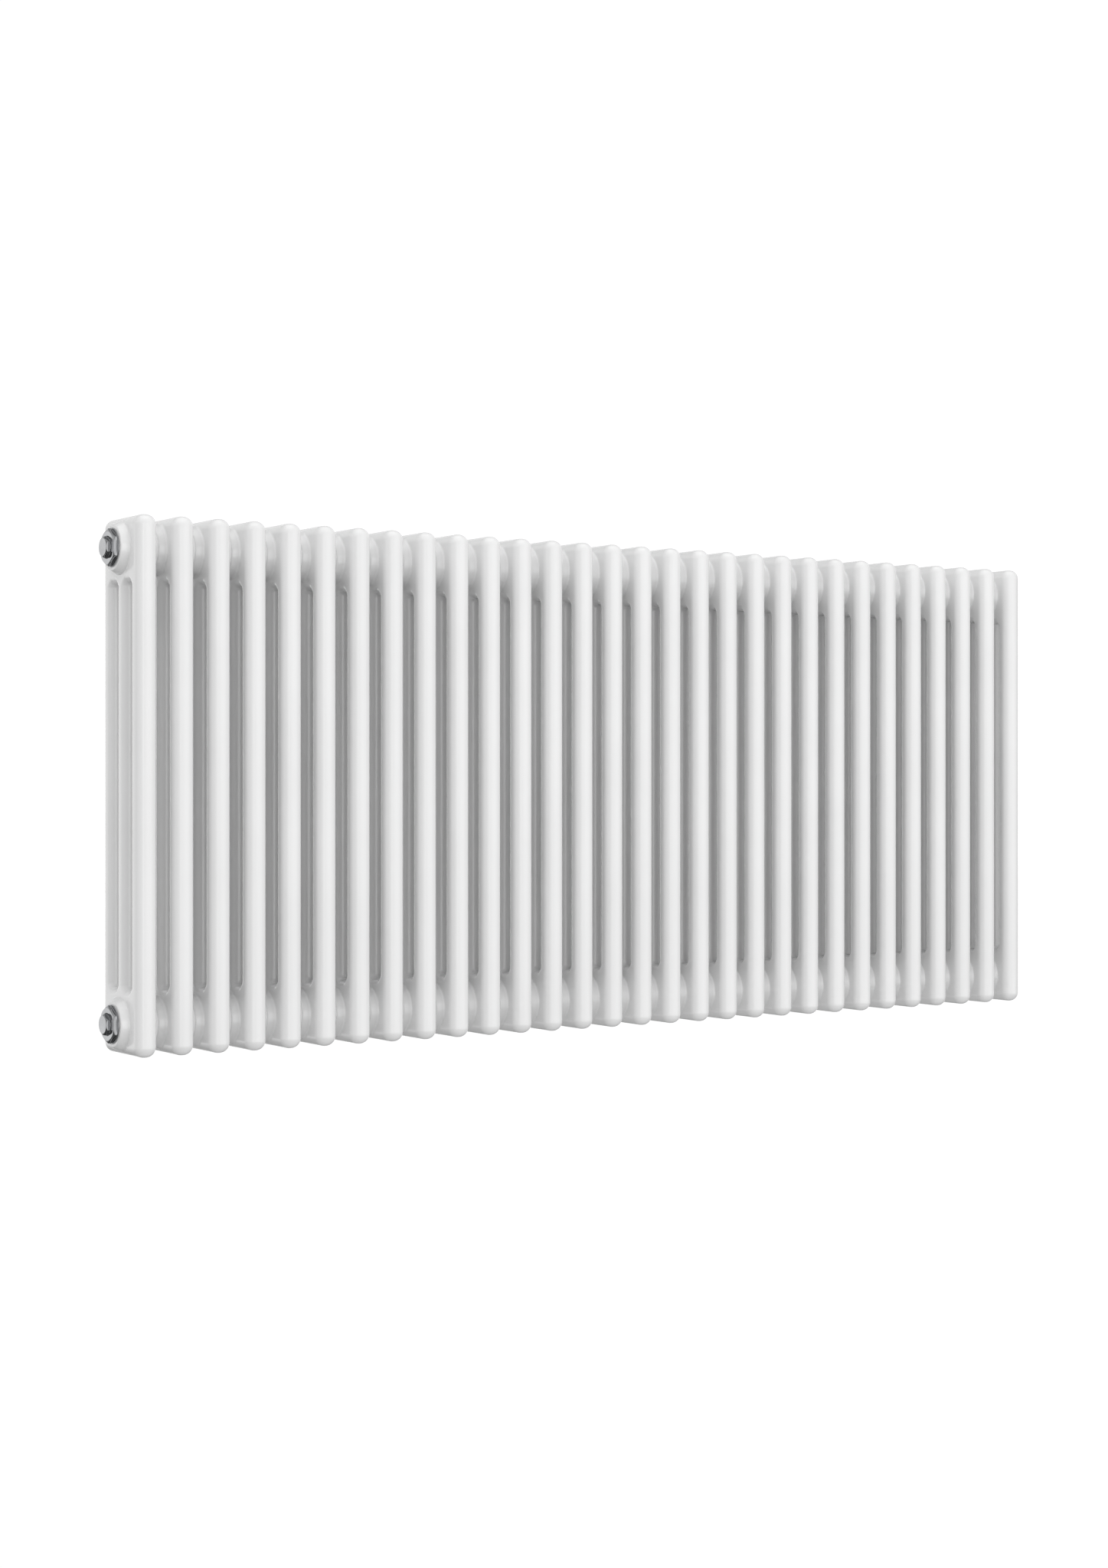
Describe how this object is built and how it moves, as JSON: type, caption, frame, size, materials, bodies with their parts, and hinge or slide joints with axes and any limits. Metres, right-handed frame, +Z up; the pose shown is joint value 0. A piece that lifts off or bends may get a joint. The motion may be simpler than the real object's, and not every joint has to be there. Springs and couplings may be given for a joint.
{
  "type": "column radiator",
  "caption": "Wall-hung steel column radiator: rows of round tubes between rounded heads joined at hubs, chrome port fittings, blanking plugs and an air vent with a bleed screw.",
  "frame": {"origin": "on the centre plane of the row of sections and of the depth, level with the sections' undersides", "axes": "+X along the row towards the air vent end, +Y towards the wall, +Z up"},
  "size_m": [1.3722, 0.1, 0.6],
  "materials": {
    "white_enamel": "gloss",
    "chrome_fittings": "polished",
    "nipple_steel": "machined",
    "gasket_rubber": "matt",
    "vent_plastic": "satin",
    "vent_brass": "machined"
  },
  "bodies": {
    "radiator": {"section_01": "white_enamel", "section_02": "white_enamel", "section_03": "white_enamel", "section_04": "white_enamel", "section_05": "white_enamel", "section_06": "white_enamel", "section_07": "white_enamel", "section_08": "white_enamel", "section_09": "white_enamel", "section_10": "white_enamel", "section_11": "white_enamel", "section_12": "white_enamel", "section_13": "white_enamel", "section_14": "white_enamel", "section_15": "white_enamel", "section_16": "white_enamel", "section_17": "white_enamel", "section_18": "white_enamel", "section_19": "white_enamel", "section_20": "white_enamel", "section_21": "white_enamel", "section_22": "white_enamel", "section_23": "white_enamel", "section_24": "white_enamel", "section_25": "white_enamel", "section_26": "white_enamel", "section_27": "white_enamel", "section_28": "white_enamel", "section_29": "white_enamel", "section_30": "white_enamel", "top_joint_nipples": "nipple_steel", "bottom_joint_nipples": "nipple_steel", "top_joint_gaskets": "gasket_rubber", "bottom_joint_gaskets": "gasket_rubber", "top_left_reducing_bush": "chrome_fittings", "top_left_bush_gasket": "gasket_rubber", "bottom_left_reducing_bush": "chrome_fittings", "bottom_left_bush_gasket": "gasket_rubber", "top_right_reducing_bush": "chrome_fittings", "top_right_bush_gasket": "gasket_rubber", "bottom_right_reducing_bush": "chrome_fittings", "bottom_right_bush_gasket": "gasket_rubber", "top_left_blank_plug": "chrome_fittings", "bottom_left_blank_plug": "chrome_fittings", "top_left_plug_seal": "gasket_rubber", "bottom_left_plug_seal": "gasket_rubber", "air_vent_seal": "gasket_rubber", "air_vent_body": "chrome_fittings"},
    "vent_nozzle": {"air_vent_nozzle": "vent_plastic"},
    "screw_lift": {"bleed_screw_tip": "gasket_rubber"},
    "screw": {"bleed_screw": "vent_brass"}
  },
  "joints": [
    {"name": "nozzle_swivel", "type": "hinge", "parent": "radiator", "child": "vent_nozzle", "pos_m": [0.685, 0, 0.565], "axis": [1, 0, 0], "continuous": true},
    {"name": "bleed_screw_lift", "type": "slide", "parent": "radiator", "child": "screw_lift", "axis": [1, 0, 0], "range_m": [0, 0.0015]},
    {"name": "bleed_screw_turn", "type": "hinge", "parent": "screw_lift", "child": "screw", "pos_m": [0.6775, 0, 0.565], "axis": [1, 0, 0], "range_deg": [0, 540]}
  ],
  "couplings": [
    {"joint": "bleed_screw_turn", "follows": "bleed_screw_lift", "rad_per_m": 6283.2}
  ]
}
